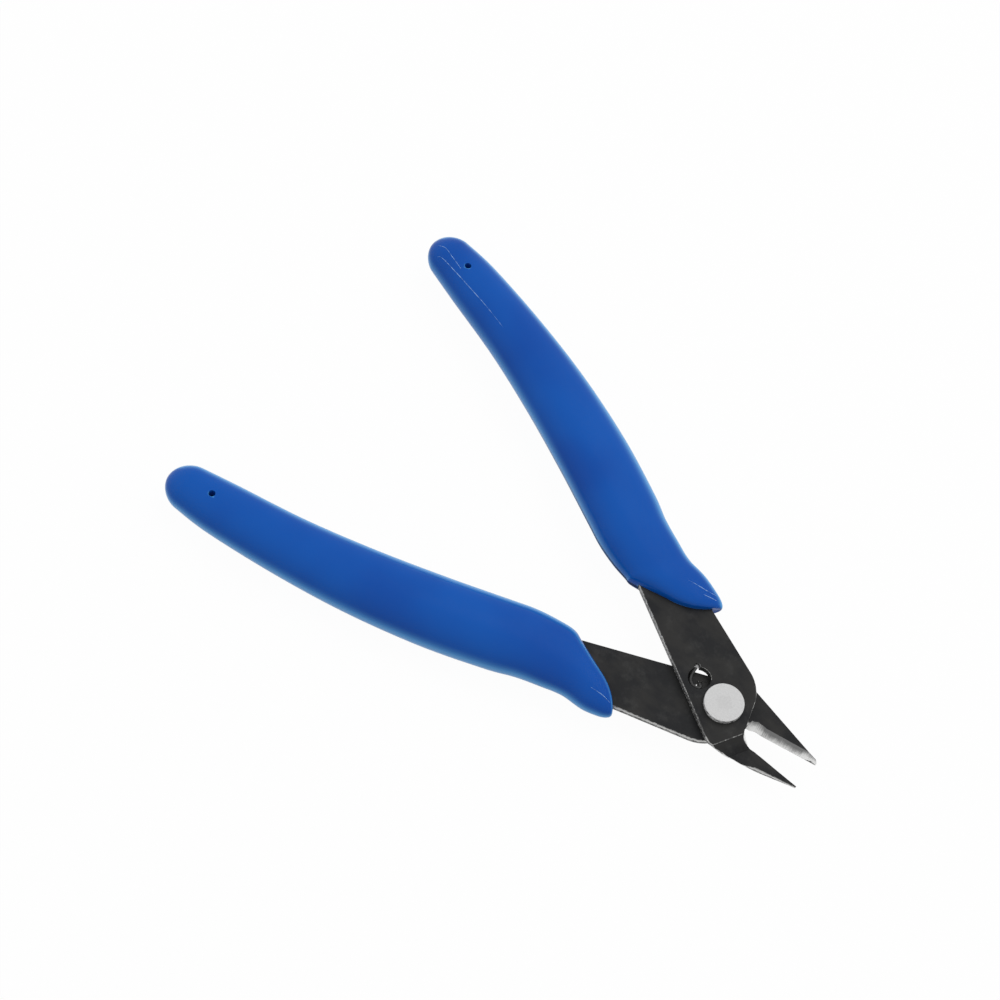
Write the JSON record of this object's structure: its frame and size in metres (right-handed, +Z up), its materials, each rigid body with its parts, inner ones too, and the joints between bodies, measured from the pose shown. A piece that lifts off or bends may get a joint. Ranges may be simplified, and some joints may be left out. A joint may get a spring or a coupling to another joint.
{
  "type": "flush cutter",
  "caption": "Hand cutter with two riveted sheet steel blades, thin shearing jaws, a small wire return spring and curved glossy blue moulded grips, shown open",
  "frame": {"origin": "centre of the bounding box in X and Y, at the underside of the grips that the tool lies on", "axes": "+X along the tool from the grips to the jaws, +Y across the handles toward the upper blade's handle, +Z up, along the rivet"},
  "size_m": [0.1234, 0.0808, 0.0113],
  "materials": {
    "blade_steel": "black oxide on sheet steel, ground bright at the edges and bevels",
    "rivet_steel": "bare steel, satin",
    "spring_wire": "drawn spring wire",
    "grip_vinyl": "smooth glossy moulded vinyl, royal blue"
  },
  "bodies": {
    "lower_half": {"lower_blade": "blade_steel", "lower_grip": "grip_vinyl", "pivot_rivet": "rivet_steel", "return_spring": "spring_wire"},
    "upper_half": {"upper_blade": "blade_steel", "upper_grip": "grip_vinyl"}
  },
  "joints": [
    {"name": "jaw_pivot", "type": "hinge", "parent": "lower_half", "child": "upper_half", "pos_m": [0.04252, 0, 0.0056], "axis": [0, 0, 1], "range_deg": [0, 18], "stiffness_Nm_per_rad": 0.3, "springref_deg": -11.46, "deforming": ["return_spring"]}
  ]
}
